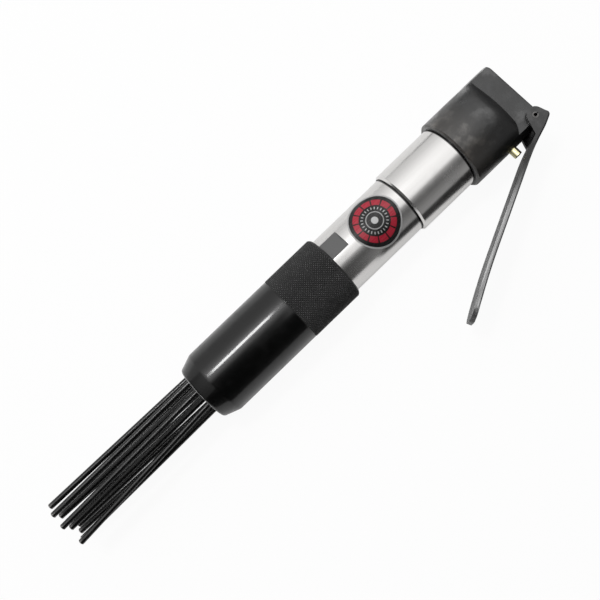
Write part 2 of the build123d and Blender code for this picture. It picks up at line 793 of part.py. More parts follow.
def return_spring():
    """Spring between the needle holder and the front wall of the nose."""
    foot = Plane(origin=(holder_flange_front_x, 0, 0), z_dir=(1, 0, 0))
    length = spring_seat_x - holder_flange_front_x
    return coil("return_spring", foot, return_spring_radius, return_spring_wire, length,
                return_spring_turns)


def all_parts():
    """Every node's name and solid."""
    makers = (
        throttle_housing, inlet_screen, valve_stem, valve_seal, stem_seal, valve_spring, valve_plug,
        plug_seal, throttle_lever, lever_pin, chest_cap, valve_plate, chest_block, chest_dowel, barrel,
        barrel_seal, exhaust_sleeve, round_label, piston, anvil, nose_sleeve, needle_holder, return_spring,
    )
    nodes = {maker.__name__: maker() for maker in makers}
    for index in range(outer_count + inner_count):
        nodes[f"needle_{index + 1:02d}"] = needle(index)
    return nodes


def main():
    """Write one STEP file for each node."""
    os.makedirs("parts", exist_ok=True)
    for name, shape in all_parts().items():
        export_step(shape, f"parts/{name}.step")
        print(name, "volume", round(shape.volume, 1))


if __name__ == "__main__":
    main()
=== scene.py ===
# %% [markdown]
# # A straight air needle scaler
# The tool knocks rust and paint off steel with a bundle of loose needles. Compressed air enters at the
# rear, a squeeze lever opens the valve, a hammer runs to and fro in the barrel, and each blow throws the
# needles forwards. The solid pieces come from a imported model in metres. This script gives them their
# finish, replaces the pieces that need finer shapes, and sets up a camera, a floor and soft light.

# %% Load the fixed model
import json
import math

import bpy
import numpy as np
from mathutils import Matrix, Vector


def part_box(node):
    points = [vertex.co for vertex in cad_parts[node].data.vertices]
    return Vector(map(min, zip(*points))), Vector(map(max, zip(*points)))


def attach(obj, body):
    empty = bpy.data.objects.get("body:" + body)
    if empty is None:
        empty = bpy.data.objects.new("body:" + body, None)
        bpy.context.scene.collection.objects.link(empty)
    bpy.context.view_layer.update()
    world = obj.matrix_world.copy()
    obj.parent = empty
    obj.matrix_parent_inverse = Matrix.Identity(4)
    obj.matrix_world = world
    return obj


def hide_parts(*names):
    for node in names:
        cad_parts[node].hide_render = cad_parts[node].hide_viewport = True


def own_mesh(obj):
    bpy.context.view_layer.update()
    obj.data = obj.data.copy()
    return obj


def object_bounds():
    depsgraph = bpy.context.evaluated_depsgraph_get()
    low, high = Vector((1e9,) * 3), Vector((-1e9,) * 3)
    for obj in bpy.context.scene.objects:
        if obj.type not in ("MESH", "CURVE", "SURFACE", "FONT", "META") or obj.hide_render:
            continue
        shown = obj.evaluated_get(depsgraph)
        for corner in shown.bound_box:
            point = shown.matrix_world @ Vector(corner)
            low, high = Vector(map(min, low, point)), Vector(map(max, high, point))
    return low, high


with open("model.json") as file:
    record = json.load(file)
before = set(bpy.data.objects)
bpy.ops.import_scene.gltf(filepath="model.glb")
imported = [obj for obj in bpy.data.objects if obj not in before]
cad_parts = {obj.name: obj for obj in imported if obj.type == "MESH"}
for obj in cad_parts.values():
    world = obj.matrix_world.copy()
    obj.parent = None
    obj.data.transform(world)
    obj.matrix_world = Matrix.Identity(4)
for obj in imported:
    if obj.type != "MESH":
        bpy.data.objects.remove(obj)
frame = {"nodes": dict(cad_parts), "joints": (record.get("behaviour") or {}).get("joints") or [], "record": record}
cad_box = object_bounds()
nodes = frame["nodes"]
joints = {joint["name"]: joint for joint in frame["joints"]}
mounts = {mount["name"]: mount for mount in frame["record"]["mounts"]}
MM = 0.001
print("loaded", len(nodes), "nodes, box in mm", [round(v / MM, 1) for corner in cad_box for v in corner])

# %% [markdown]
# ## Where things are
# Every place is read from the model, so that the new pieces sit exactly where the solid ones do. The long
# axis of the tool is X: the air inlet is at 0 and the needle tips are at the far end.

# %% Stations along the tool
head_low, head_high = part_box("throttle_housing")
barrel_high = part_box("barrel")[1]
sleeve_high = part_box("exhaust_sleeve")[1]
nose_low, nose_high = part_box("nose_sleeve")
label_low, label_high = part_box("round_label")
lever_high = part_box("throttle_lever")[1]
needle_tip_x = max(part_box(name)[1].x for name in nodes if name.startswith("needle_0"))
floor_z = cad_box[0].z
barrel_radius = barrel_high.y
nose_seat = mounts["nose_seat"]
nose_radius = nose_seat["dims"]["r_mm"] * MM
nose_half = nose_seat["dims"]["length_mm"] * MM / 2
knurl_end_x = nose_seat["pos_m"][0] - nose_half
taper_x = nose_seat["pos_m"][0] + nose_half
print("nose, knurl end and taper in mm", [round(x / MM, 1) for x in (nose_low.x, knurl_end_x, taper_x)])

# %% [markdown]
# ## Camera
# The picture looks almost straight down on the tool, which lies on its side and is rolled a little so that
# the lever comes towards the viewer. A camera is a place, a target and a roll. Here the image's right is
# written in terms of the tool's long axis, because the tool lies slanted across the frame.

# %% Place the camera
CAMERA_DISTANCE = 391.0 * MM
CAMERA_STATION = 167.1 * MM
AIM_STATION = 147.4 * MM
TOOL_ROLL = math.radians(9.5)
RIGHT_ALONG, RIGHT_ACROSS = -0.72055, 0.69340
LENS = 47.64
SENSOR = 36.0
CLIP_START = 10.0 * MM

towards_viewer = Vector((0.0, math.sin(TOOL_ROLL), math.cos(TOOL_ROLL)))
across = Vector((0.0, math.cos(TOOL_ROLL), -math.sin(TOOL_ROLL)))
along = Vector((1.0, 0.0, 0.0))
camera_place = along * CAMERA_STATION + towards_viewer * CAMERA_DISTANCE
backwards = (camera_place - along * AIM_STATION).normalized()
image_right = along * RIGHT_ALONG + across * RIGHT_ACROSS
image_right = (image_right - backwards * image_right.dot(backwards)).normalized()
image_up = backwards.cross(image_right)
camera_data = bpy.data.cameras.new("camera")
camera_data.lens = LENS
camera_data.sensor_width = SENSOR
camera_data.clip_start = CLIP_START
camera = bpy.data.objects.new("camera", camera_data)
turn = Matrix((image_right, image_up, backwards)).transposed().to_4x4()
camera.matrix_world = Matrix.Translation(camera_place) @ turn
bpy.context.scene.collection.objects.link(camera)
bpy.context.scene.camera = camera
bpy.context.scene.view_settings.view_transform = "Standard"
print("camera at", [round(v / MM, 1) for v in camera_place])

# %% [markdown]
# ## Small helpers for node trees
# A material is a graph of nodes. A few helpers keep the graphs short: one adds a node and fills its inputs,
# others do one step of arithmetic or mixing, and one starts a shader node group, an effect with named
# inputs and an output that many materials can share.


# %% Node helpers
def place(tree, kind, inputs=None, **settings):
    """Add a node, set its own settings, and fill its inputs with plain values or links."""
    made = tree.nodes.new(kind)
    for name, value in settings.items():
        setattr(made, name, value)
    for key, value in (inputs or {}).items():
        if isinstance(value, bpy.types.NodeSocket):
            tree.links.new(value, made.inputs[key])
        else:
            made.inputs[key].default_value = value
    return made


def maths(tree, operation, first, second=0.0, clamp=False):
    """One arithmetic step, as an output socket."""
    made = place(tree, "ShaderNodeMath", {0: first, 1: second}, operation=operation, use_clamp=clamp)
    return made.outputs[0]


def times(tree, first, second):
    """Product of two values, as an output socket."""
    return maths(tree, "MULTIPLY", first, second)


def spread(tree, value, low, high, to_low, to_high):
    """Carry a value from one span to another with a smooth step, as an output socket."""
    inputs = {"Value": value, "From Min": low, "From Max": high, "To Min": to_low, "To Max": to_high}
    return place(tree, "ShaderNodeMapRange", inputs, interpolation_type="SMOOTHSTEP").outputs[0]


def blend(tree, share, first, second):
    """Mix two colours by a share from 0 to 1, as an output socket."""
    return place(tree, "ShaderNodeMix", {0: share, 6: first, 7: second}, data_type="RGBA").outputs[2]


def parts_of(tree, vector):
    """X, Y and Z of a vector, as three sockets."""
    return place(tree, "ShaderNodeSeparateXYZ", {0: vector}).outputs


def noise(tree, vector, scale, detail, roughness=0.5):
    """Noise from 0 to 1 in three dimensions, as an output socket."""
    inputs = {"Vector": vector, "Scale": scale, "Detail": detail, "Roughness": roughness}
    return place(tree, "ShaderNodeTexNoise", inputs).outputs[0]


# %% Group helpers
VECTOR, NUMBER = "NodeSocketVector", "NodeSocketFloat"


def new_group(name, inputs, output):
    """Start a shader node group from (label, kind) inputs and one value output."""
    group = bpy.data.node_groups.new(name, "ShaderNodeTree")
    for label, kind in inputs:
        group.interface.new_socket(label, in_out="INPUT", socket_type=kind)
    group.interface.new_socket(output, in_out="OUTPUT", socket_type=NUMBER)
    entry = group.nodes.new("NodeGroupInput")
    leave = group.nodes.new("NodeGroupOutput")
    return group, entry.outputs, leave.inputs[0]


def use(tree, group, **inputs):
    """Place a shader node group in a material and give its one output."""
    return place(tree, "ShaderNodeGroup", inputs, node_tree=group).outputs[0]


# %% [markdown]
# ## Shared surface effects
# Machined, drawn, cast and handled surfaces differ in the shape of their noise. Turned surfaces have rings,
# so their noise depends on the place along the axis alone. Drawn wire has long streaks. Castings have a
# fine even grain, and handling leaves broad soft patches. Edges lose their coat first, so wear sits near a
# known station, and a painted shade darkens the corner where one piece comes out of a wider one.

# %% Group: fine rings left by a lathe
lathe_rings, entry, leave = new_group("lathe_rings", [("Vector", VECTOR), ("Width", NUMBER)], "Height")
ring_place = maths(lathe_rings, "DIVIDE", parts_of(lathe_rings, entry["Vector"])[0], entry["Width"])
ring_noise = place(lathe_rings, "ShaderNodeTexNoise", {"W": ring_place, "Scale": 1.0, "Detail": 3.0},
                   noise_dimensions="1D")
lathe_rings.links.new(ring_noise.outputs[0], leave)

# %% Group: broad soft patches of handling, oil and dust
BARE_START, COVER_GAIN, PATCH_FADE = 0.75, 0.5, 0.22
soft_patches, entry, leave = new_group(
    "soft_patches", [("Vector", VECTOR), ("Size", NUMBER), ("Cover", NUMBER)], "Mask")
patch_scale = maths(soft_patches, "DIVIDE", 1.0, entry["Size"])
patch_noise = noise(soft_patches, entry["Vector"], patch_scale, detail=5.0, roughness=0.6)
patch_gain = times(soft_patches, entry["Cover"], COVER_GAIN)
patch_start = maths(soft_patches, "SUBTRACT", BARE_START, patch_gain)
patch_end = maths(soft_patches, "ADD", patch_start, PATCH_FADE)
soft_patches.links.new(spread(soft_patches, patch_noise, patch_start, patch_end, 0.0, 1.0), leave)

# %% Group: fine even grain of a casting or a blasted face
fine_grain, entry, leave = new_group("fine_grain", [("Vector", VECTOR), ("Size", NUMBER)], "Height")
grain_scale = maths(fine_grain, "DIVIDE", 1.0, entry["Size"])
fine_grain.links.new(noise(fine_grain, entry["Vector"], grain_scale, detail=4.0, roughness=0.55), leave)

# %% Group: long streaks along X, as on drawn wire or a brushed face
long_streaks, entry, leave = new_group(
    "long_streaks", [("Vector", VECTOR), ("Length", NUMBER), ("Width", NUMBER)], "Height")
streak_along = maths(long_streaks, "DIVIDE", 1.0, entry["Length"])
streak_across = maths(long_streaks, "DIVIDE", 1.0, entry["Width"])
streak_size = place(long_streaks, "ShaderNodeCombineXYZ",
                    {0: streak_along, 1: streak_across, 2: streak_across}).outputs[0]
streak_place = place(long_streaks, "ShaderNodeVectorMath", {0: entry["Vector"], 1: streak_size},
                     operation="MULTIPLY").outputs[0]
long_streaks.links.new(noise(long_streaks, streak_place, scale=1.0, detail=3.0), leave)

# %% Group: broken wear near one value, such as an edge's station or a crest's radius
WEAR_START, WEAR_FULL = 0.05, 0.4
edge_wear, entry, leave = new_group(
    "edge_wear", [("Vector", VECTOR), ("Value", NUMBER), ("Edge", NUMBER), ("Reach", NUMBER),
                  ("Chip", NUMBER)], "Mask")
edge_gap = maths(edge_wear, "ABSOLUTE", maths(edge_wear, "SUBTRACT", entry["Value"], entry["Edge"]))
edge_share = maths(edge_wear, "DIVIDE", edge_gap, entry["Reach"])
edge_near = maths(edge_wear, "SUBTRACT", 1.0, edge_share, clamp=True)
chip_scale = maths(edge_wear, "DIVIDE", 1.0, entry["Chip"])
chip_noise = noise(edge_wear, entry["Vector"], chip_scale, detail=4.0, roughness=0.65)
chipped = maths(edge_wear, "ADD", edge_near, maths(edge_wear, "SUBTRACT", chip_noise, 1.0))
edge_wear.links.new(spread(edge_wear, chipped, WEAR_START, WEAR_FULL, 0.0, 1.0), leave)

# %% Group: painted shade just ahead of where a piece comes out of a wider one
SHADE_BACK, SHADE_FULL, SHADE_END = -0.5, 0.5, 1.1
corner_dirt, entry, leave = new_group(
    "corner_dirt", [("Vector", VECTOR), ("Corner", NUMBER), ("Reach", NUMBER)], "Mask")
# painted shade: darkest just ahead of the corner, fading out over the reach
shade_x = parts_of(corner_dirt, entry["Vector"])[0]
shade_gap = maths(corner_dirt, "SUBTRACT", shade_x, entry["Corner"])
shade_share = maths(corner_dirt, "DIVIDE", shade_gap, entry["Reach"])
shade_ahead = maths(corner_dirt, "GREATER_THAN", shade_share, SHADE_BACK)
shade_fade = spread(corner_dirt, shade_share, SHADE_FULL, SHADE_END, 1.0, 0.0)
corner_dirt.links.new(times(corner_dirt, shade_ahead, shade_fade), leave)

# %% Group: distance from the tool's long axis
axis_radius, entry, leave = new_group("axis_radius", [("Vector", VECTOR)], "Radius")
radius_parts = parts_of(axis_radius, entry["Vector"])
off_axis = {1: radius_parts[1], 2: radius_parts[2]}
radius_plane = place(axis_radius, "ShaderNodeCombineXYZ", off_axis).outputs[0]
radius_length = place(axis_radius, "ShaderNodeVectorMath", {0: radius_plane}, operation="LENGTH")
axis_radius.links.new(radius_length.outputs["Value"], leave)
print("shader node groups:", [group.name for group in bpy.data.node_groups])

# %% [markdown]
# ## Finishes
# Each finish below starts a material with one Principled BSDF and the piece's own coordinates, and then
# links the shared effects to colour, roughness and bump. Numbers that are the same all over are set on the
# shader itself.


# %% Start a finish
def new_finish(name, metallic, specular=0.5):
    """A material with a Principled BSDF: gives the material, its tree, its shader and its coordinates."""
    material = bpy.data.materials.new(name)
    material.use_nodes = True
    tree = material.node_tree
    shader = tree.nodes["Principled BSDF"]
    shader.inputs["Metallic"].default_value = metallic
    shader.inputs["Specular IOR Level"].default_value = specular
    coords = place(tree, "ShaderNodeTexCoord").outputs["Object"]
    return material, tree, shader, coords


def finish_with(tree, shader, colour, roughness):
    """Link a colour and a roughness to the shader."""
    tree.links.new(colour, shader.inputs["Base Color"])
    tree.links.new(roughness, shader.inputs["Roughness"])


def oil_with(tree, shader, weight, roughness):
    """Link a mask of oil to the shader's clear coat, and set how dull the coat is."""
    tree.links.new(weight, shader.inputs["Coat Weight"])
    shader.inputs["Coat Roughness"].default_value = roughness


def bump_with(tree, shader, height, depth):
    """Link a height to the shader's normal through a bump of the given depth in metres."""
    bump = place(tree, "ShaderNodeBump", {"Height": height, "Distance": depth, "Strength": 1.0})
    tree.links.new(bump.outputs[0], shader.inputs["Normal"])


def grey(level, warm=0.0):
    """A grey as red, green, blue and alpha, warmed a little if asked."""
    return (level * (1.0 + warm), level, level * (1.0 - warm), 1.0)


# %% [markdown]
# ### Black coated casting
# The throttle head is an aluminium casting with a semi-matte black coat. A casting is never quite flat, so
# the bump has two scales: slow waves that bend the reflections and a fine grain that dulls them. Hands
# leave smears of oil, which shine as a clear coat. Warm dust patches also carry a painted warm reflection,
# and both grow towards the front. A little grey shows through at the front lip and the rear rim.

# %% Casting finish
COAT_DARK, COAT_PALE = grey(0.009), grey(0.020, -0.03)
COAT_ROUGHNESS = (0.40, 0.25)
# warm tone of dust patches, which also stands for a painted warm reflection towards the front
DUST_AND_REFLECTION_TONE, BARE_TONE = grey(0.060, 0.14), grey(0.07)
DUST_AND_REFLECTION_LEAST = 0.35
FRONT_DUST_AND_REFLECTION_START = 22.0 * MM
SMEAR_SHIFT = (0.0, 0.0, 6.0 * MM)
SMEAR_OIL = 0.9
GRAIN_SHARE = 0.12


def casting_finish():
    """Semi-matte black coat with slow waves, fine grain, oily smears, dust with a painted warm reflection, and
    worn rims.
    """
    material, tree, shader, coords = new_finish("cast_black_coat", 0.0, specular=0.82)
    along_x = parts_of(tree, coords)[0]
    grain = use(tree, fine_grain, Vector=coords, Size=0.5 * MM)
    waves = use(tree, fine_grain, Vector=coords, Size=9.0 * MM)
    patches = use(tree, soft_patches, Vector=coords, Size=14.0 * MM, Cover=0.6)
    lip = use(tree, edge_wear, Vector=coords, Value=along_x, Edge=head_high.x, Reach=0.7 * MM, Chip=2.0 * MM)
    rim = use(tree, edge_wear, Vector=coords, Value=along_x, Edge=head_low.x, Reach=0.8 * MM, Chip=1.5 * MM)
    worn = maths(tree, "MAXIMUM", lip, rim)
    # dust patches with a painted warm reflection, both growing towards the front lip
    front = spread(tree, along_x, FRONT_DUST_AND_REFLECTION_START, head_high.x, 0.0, 1.0)
    shifted = place(tree, "ShaderNodeMapping", {"Vector": coords, "Location": SMEAR_SHIFT}).outputs[0]
    smears = use(tree, soft_patches, Vector=shifted, Size=10.0 * MM, Cover=0.55)
    dust_and_reflection = times(tree, front, spread(tree, smears, 0.0, 1.0, DUST_AND_REFLECTION_LEAST, 1.0))
    coat = blend(tree, patches, COAT_DARK, COAT_PALE)
    coat = blend(tree, dust_and_reflection, coat, DUST_AND_REFLECTION_TONE)
    colour = blend(tree, worn, coat, BARE_TONE)
    finish_with(tree, shader, colour, spread(tree, patches, 0.0, 1.0, *COAT_ROUGHNESS))
    oil_with(tree, shader, spread(tree, smears, 0.0, 1.0, 0.0, SMEAR_OIL), roughness=0.26)
    height = maths(tree, "ADD", waves, times(tree, grain, GRAIN_SHARE))
    bump_with(tree, shader, height, depth=0.30 * MM)
    return material


# %% [markdown]
# ### Polished steel
# The barrel and the exhaust sleeve are turned and polished steel. They mirror the room, so most of their
# look comes from the lights. Fine rings keep the mirror from being perfect. The two wrench flats are
# milled, not polished, and they are found by their distance from the axis: only a flat lies inside the
# barrel's radius.

# %% Polished finish
STREAK_SHADE, STREAK_WARM = 0.92, (0.012, 0.02)
MARK_SPAN = (0.3, 1.7)
STEEL_ROUGHNESS = (0.20, 0.29)
# tone and reach of the painted shade in front of a wider piece
CORNER_SHADE_TONE, CORNER_SHADE_REACH = grey(0.03), 1.2 * MM
FLAT_START_X = nose_low.x - 10.6 * MM
FLAT_TONE, FLAT_DULLNESS = grey(0.13), 0.3
FLAT_DEPTH = 0.03 * MM


def polished_finish(name, tone, corner_x, flats):
    """Polished turned steel with rings, streaks and smudges, painted shade at a corner, and milled flats if asked.
    """
    material, tree, shader, coords = new_finish(name, 1.0)
    rings = use(tree, lathe_rings, Vector=coords, Width=0.16 * MM)
    streaks = use(tree, long_streaks, Vector=coords, Length=40.0 * MM, Width=1.2 * MM)
    smudges = use(tree, soft_patches, Vector=coords, Size=16.0 * MM, Cover=0.5)
    bright, shaded = grey(tone, STREAK_WARM[0]), grey(tone * STREAK_SHADE, STREAK_WARM[1])
    colour = blend(tree, streaks, bright, shaded)
    # painted shade on the steel just in front of the wider piece it comes out of
    corner_shade = use(tree, corner_dirt, Vector=coords, Corner=corner_x, Reach=CORNER_SHADE_REACH)
    colour = blend(tree, corner_shade, colour, CORNER_SHADE_TONE)
    roughness = spread(tree, maths(tree, "ADD", smudges, rings), *MARK_SPAN, *STEEL_ROUGHNESS)
    height = rings
    if flats:
        radius = use(tree, axis_radius, Vector=coords)
        inside = maths(tree, "LESS_THAN", radius, barrel_radius - FLAT_DEPTH)
        near_nose = maths(tree, "GREATER_THAN", parts_of(tree, coords)[0], FLAT_START_X)
        milled = times(tree, inside, near_nose)
        grain = use(tree, long_streaks, Vector=coords, Length=0.3 * MM, Width=4.0 * MM)
        colour = blend(tree, milled, colour, FLAT_TONE)
        roughness = maths(tree, "ADD", roughness, times(tree, milled, FLAT_DULLNESS))
        height = maths(tree, "ADD", height, times(tree, milled, grain))
    finish_with(tree, shader, colour, roughness)
    bump_with(tree, shader, height, depth=0.004 * MM)
    return material


# %% [markdown]
# ### Black oxide
# The nose sleeve is blackened steel: glossy on the plain part, dull on the knurl, where the sharp crests
# are rubbed to a lighter grey. Black oxide is a thin mineral layer and not bare metal, so it is shaded as
# a dielectric. The layer itself gives a soft sheen, and the oil that seals it gives a sharp one, so the
# oil is the shader's clear coat.

# %% Black oxide finish
OXIDE_DARK, OXIDE_PALE = grey(0.001), grey(0.003)
OXIDE_ROUGHNESS = (0.30, 0.38)
OXIDE_OIL = (0.55, 0.40)
KNURL_TONE, KNURL_DULLNESS = grey(0.028), 0.14
KNURL_FADE = 0.2 * MM
RUBBED_TONE, RUBBED_SHARE = grey(0.36), 0.8


def oxide_finish():
    """Glossy black oxide with a dull knurl, rubbed crests and soft smudges."""
    material, tree, shader, coords = new_finish("black_oxide_nose", 0.0, specular=0.25)
    along_x = parts_of(tree, coords)[0]
    radius = use(tree, axis_radius, Vector=coords)
    smudges = use(tree, soft_patches, Vector=coords, Size=9.0 * MM, Cover=0.55)
    rings = use(tree, lathe_rings, Vector=coords, Width=0.2 * MM)
    knurled = spread(tree, along_x, knurl_end_x - KNURL_FADE, knurl_end_x + KNURL_FADE, 1.0, 0.0)
    crest = use(tree, edge_wear, Vector=coords, Value=radius, Edge=nose_high.y,
                Reach=0.22 * MM, Chip=3.0 * MM)
    front = use(tree, edge_wear, Vector=coords, Value=along_x, Edge=nose_high.x,
                Reach=1.4 * MM, Chip=1.2 * MM)
    worn = maths(tree, "MAXIMUM", times(tree, crest, knurled), front)
    black = blend(tree, smudges, OXIDE_DARK, OXIDE_PALE)
    base = blend(tree, knurled, black, KNURL_TONE)
    colour = blend(tree, times(tree, worn, RUBBED_SHARE), base, RUBBED_TONE)
    sheen = spread(tree, maths(tree, "ADD", smudges, rings), *MARK_SPAN, *OXIDE_ROUGHNESS)
    roughness = maths(tree, "ADD", sheen, times(tree, knurled, KNURL_DULLNESS))
    finish_with(tree, shader, colour, roughness)
    plain = maths(tree, "SUBTRACT", 1.0, knurled)
    oil = times(tree, plain, spread(tree, smudges, 0.0, 1.0, *OXIDE_OIL))
    oil_with(tree, shader, oil, roughness=0.09)
    bump_with(tree, shader, rings, depth=0.003 * MM)
    return material


# %% [markdown]
# ### Dark pressed steel
# The lever is pressed from steel strip and darkened. Its brush marks run along the blade, which slants away
# from the body, so the coordinates are turned by the blade's angle first. The sheared sides carry a painted
# shade near the head and a painted highlight that brightens towards the tip, and the rounded edges are
# bright all along.

# %% Lever finish
LEVER_ANGLE = math.radians(25.2)
CHEEK_LENGTH, CHEEK_FADE = 11.0 * MM, 4.0 * MM
# span along the blade over which the painted shade on the sheared sides turns into a painted highlight
SIDE_LIGHT_START, SIDE_LIGHT_END = 22.0 * MM, 52.0 * MM
TIP_START, TIP_FADE = 95.0 * MM, 5.0 * MM
SIDE_DEPTH = 0.03 * MM
LEVER_DARK, LEVER_PALE = grey(0.07), grey(0.11)
# painted shade of the sheared sides near the head, and the two greys of their painted highlight
SIDE_SHADE_TONE, SIDE_HIGHLIGHT_DARK, SIDE_HIGHLIGHT_PALE = grey(0.05), grey(0.22), grey(0.45)
EDGE_TONE = grey(0.24)
BRUSH_STEP, BRUSH_SPAN = (0.35, 0.65), (0.3, 1.6)
LEVER_ROUGHNESS = (0.40, 0.56)
pivot = Vector(joints["lever_squeeze"]["pos_m"])


def lever_finish():
    """Dark grey steel with brush marks along the blade, sheared sides painted from shade to highlight, and rubbed
    edges.
    """
    material, tree, shader, coords = new_finish("lever_dark_steel", 1.0)
    turned = {"Vector": coords, "Rotation": (0.0, 0.0, -LEVER_ANGLE)}
    blade = place(tree, "ShaderNodeMapping", turned).outputs[0]
    brush = use(tree, long_streaks, Vector=blade, Length=18.0 * MM, Width=0.35 * MM)
    patches = use(tree, soft_patches, Vector=coords, Size=10.0 * MM, Cover=0.55)
    pivot_along = pivot.x * math.cos(LEVER_ANGLE) + pivot.y * math.sin(LEVER_ANGLE)
    from_pivot = maths(tree, "SUBTRACT", parts_of(tree, blade)[0], pivot_along)
    on_blade = spread(tree, from_pivot, CHEEK_LENGTH, CHEEK_LENGTH + CHEEK_FADE, 0.0, 1.0)
    # painted light on the sheared sides: painted shade near the head, a painted highlight towards the tip
    side_light_share = spread(tree, from_pivot, SIDE_LIGHT_START, SIDE_LIGHT_END, 0.0, 1.0)
    side = maths(tree, "ABSOLUTE", parts_of(tree, coords)[2])
    flat_side = maths(tree, "GREATER_THAN", side, lever_high.z - SIDE_DEPTH)
    at_tip = maths(tree, "GREATER_THAN", from_pivot, TIP_START)
    tip_fade = spread(tree, side, lever_high.z - TIP_FADE, lever_high.z, 0.0, 1.0)
    sheared = maths(tree, "MAXIMUM", flat_side, times(tree, at_tip, tip_fade))
    edges = use(tree, edge_wear, Vector=coords, Value=side, Edge=lever_high.z, Reach=0.9 * MM, Chip=2.5 * MM)
    rubbed = times(tree, edges, maths(tree, "SUBTRACT", 1.0, sheared))
    steel = blend(tree, patches, LEVER_DARK, LEVER_PALE)
    bright = blend(tree, spread(tree, brush, *BRUSH_STEP, 0.0, 1.0), SIDE_HIGHLIGHT_DARK, SIDE_HIGHLIGHT_PALE)
    sides = blend(tree, side_light_share, SIDE_SHADE_TONE, bright)
    colour = blend(tree, times(tree, sheared, on_blade), steel, sides)
    colour = blend(tree, times(tree, rubbed, on_blade), colour, EDGE_TONE)
    roughness = spread(tree, maths(tree, "ADD", brush, patches), *BRUSH_SPAN, *LEVER_ROUGHNESS)
    finish_with(tree, shader, colour, roughness)
    bump_with(tree, shader, brush, depth=0.008 * MM)
    return material


# %% [markdown]
# ### Needle wire
# The needles are hard drawn wire, dark from heat treatment. Use rubs their tips bright and drags light
# streaks back along them, so the colour changes with the distance from the tips.

# %% Needle finish
WIRE_DARK, WIRE_PALE = grey(0.028), grey(0.075)
TIP_TONE, TIP_SHARE = grey(0.24, 0.03), 0.6
WIRE_ROUGHNESS = (0.30, 0.48)


def needle_finish():
    """Dark drawn wire with lengthwise streaks, rubbed towards the tips."""
    material, tree, shader, coords = new_finish("needle_wire", 1.0)
    streaks = use(tree, long_streaks, Vector=coords, Length=30.0 * MM, Width=0.5 * MM)
    patches = use(tree, soft_patches, Vector=coords, Size=7.0 * MM, Cover=0.5)
    along_x = parts_of(tree, coords)[0]
    tips = use(tree, edge_wear, Vector=coords, Value=along_x, Edge=needle_tip_x,
               Reach=7.0 * MM, Chip=1.5 * MM)
    wire = blend(tree, streaks, WIRE_DARK, WIRE_PALE)
    colour = blend(tree, times(tree, tips, TIP_SHARE), wire, TIP_TONE)
    roughness = spread(tree, maths(tree, "ADD", streaks, patches), *BRUSH_SPAN, *WIRE_ROUGHNESS)
    finish_with(tree, shader, colour, roughness)
    bump_with(tree, shader, streaks, depth=0.006 * MM)
    return material


# %% [markdown]
# ### Small metal parts and rubber
# The push pin and the inlet screen are brass, the plug is zinc plated, and the hidden hammer parts are
# ground steel. They share one function: a metal with turning marks and smudges, told apart by colour and
# gloss.

# %% Plain metal and rubber finishes
SMUDGE_SHADE, SMUDGE_SHARE, SMUDGE_DULLNESS = 0.6, 0.6, 0.14
RUBBER_DARK, RUBBER_BLOOM = grey(0.012), grey(0.022)
RUBBER_ROUGHNESS = (0.55, 0.7)


def metal_finish(name, colour, gloss, mark):
    """Metal of one colour with grain marks of the given size and darker smudges."""
    material, tree, shader, coords = new_finish(name, 1.0)
    marks = use(tree, fine_grain, Vector=coords, Size=mark)
    smudges = use(tree, soft_patches, Vector=coords, Size=4.0 * MM, Cover=0.55)
    darker = tuple(channel * SMUDGE_SHADE for channel in colour[:3]) + (1.0,)
    mixed = blend(tree, times(tree, smudges, SMUDGE_SHARE), colour, darker)
    finish_with(tree, shader, mixed, spread(tree, smudges, 0.0, 1.0, gloss, gloss + SMUDGE_DULLNESS))
    bump_with(tree, shader, marks, depth=0.006 * MM)
    return material


def rubber_finish():
    """Dull black rubber with a faint bloom."""
    material, tree, shader, coords = new_finish("seal_black_rubber", 0.0, specular=0.35)
    bloom = use(tree, soft_patches, Vector=coords, Size=3.0 * MM, Cover=0.5)
    grain = use(tree, fine_grain, Vector=coords, Size=0.25 * MM)
    colour = blend(tree, bloom, RUBBER_DARK, RUBBER_BLOOM)
    finish_with(tree, shader, colour, spread(tree, bloom, 0.0, 1.0, *RUBBER_ROUGHNESS))
    bump_with(tree, shader, grain, depth=0.01 * MM)
    return material


# %% [markdown]
# ### Printed sticker
# The sticker on the barrel is plain: a black film with a silver rim, a ring of small silver ticks, a dull
# red ring in segments and a silver hub. Rings are steps of a colour ramp over the distance from the
# sticker's centre. Ticks and segments come from the angle about that centre, cut into equal shares of a
# turn.

# %% Sticker layout
INK = grey(0.006)
SILVER = grey(0.40)
SCUFF_TONE = grey(0.2)
RED_RING = (0.58, 0.80)
LABEL_RINGS = (
    (0.00, grey(0.50)), (0.13, INK), (0.30, grey(0.34)), (0.335, INK),
    (RED_RING[0], (0.36, 0.016, 0.034, 1.0)), (RED_RING[1], INK), (0.945, SILVER),
)
SEGMENTS, SEGMENT_SHARE = 12, 0.86
TICKS, TICK_SHARE = 24, 0.30
TICK_RING = (0.42, 0.51)
label_centre = (label_low + label_high) / 2
label_radius = (label_high.x - label_low.x) / 2
print("sticker radius in mm", round(label_radius / MM, 2), "with", SEGMENTS, "segments and", TICKS, "ticks")


def within(tree, value, low, high):
    """1 where a value lies between two bounds and 0 elsewhere, as an output socket."""
    above = maths(tree, "GREATER_THAN", value, low)
    return times(tree, above, maths(tree, "LESS_THAN", value, high))


def ring_colours(tree, share):
    """Colour of the sticker's ring at a share of its radius, as an output socket."""
    ramp = place(tree, "ShaderNodeValToRGB", {0: share})
    ramp.color_ramp.interpolation = "CONSTANT"
    stops = ramp.color_ramp.elements
    stops.remove(stops[1])
    stops[0].color = LABEL_RINGS[0][1]
    for position, colour in LABEL_RINGS[1:]:
        stops.new(position).color = colour
    return ramp.outputs[0]


# %% Sticker finish
SCUFF_STEP, SCUFF_SHARE = (0.62, 0.75), 0.25
FILM_SPAN, FILM_ROUGHNESS = (0.3, 0.7), (0.22, 0.38)


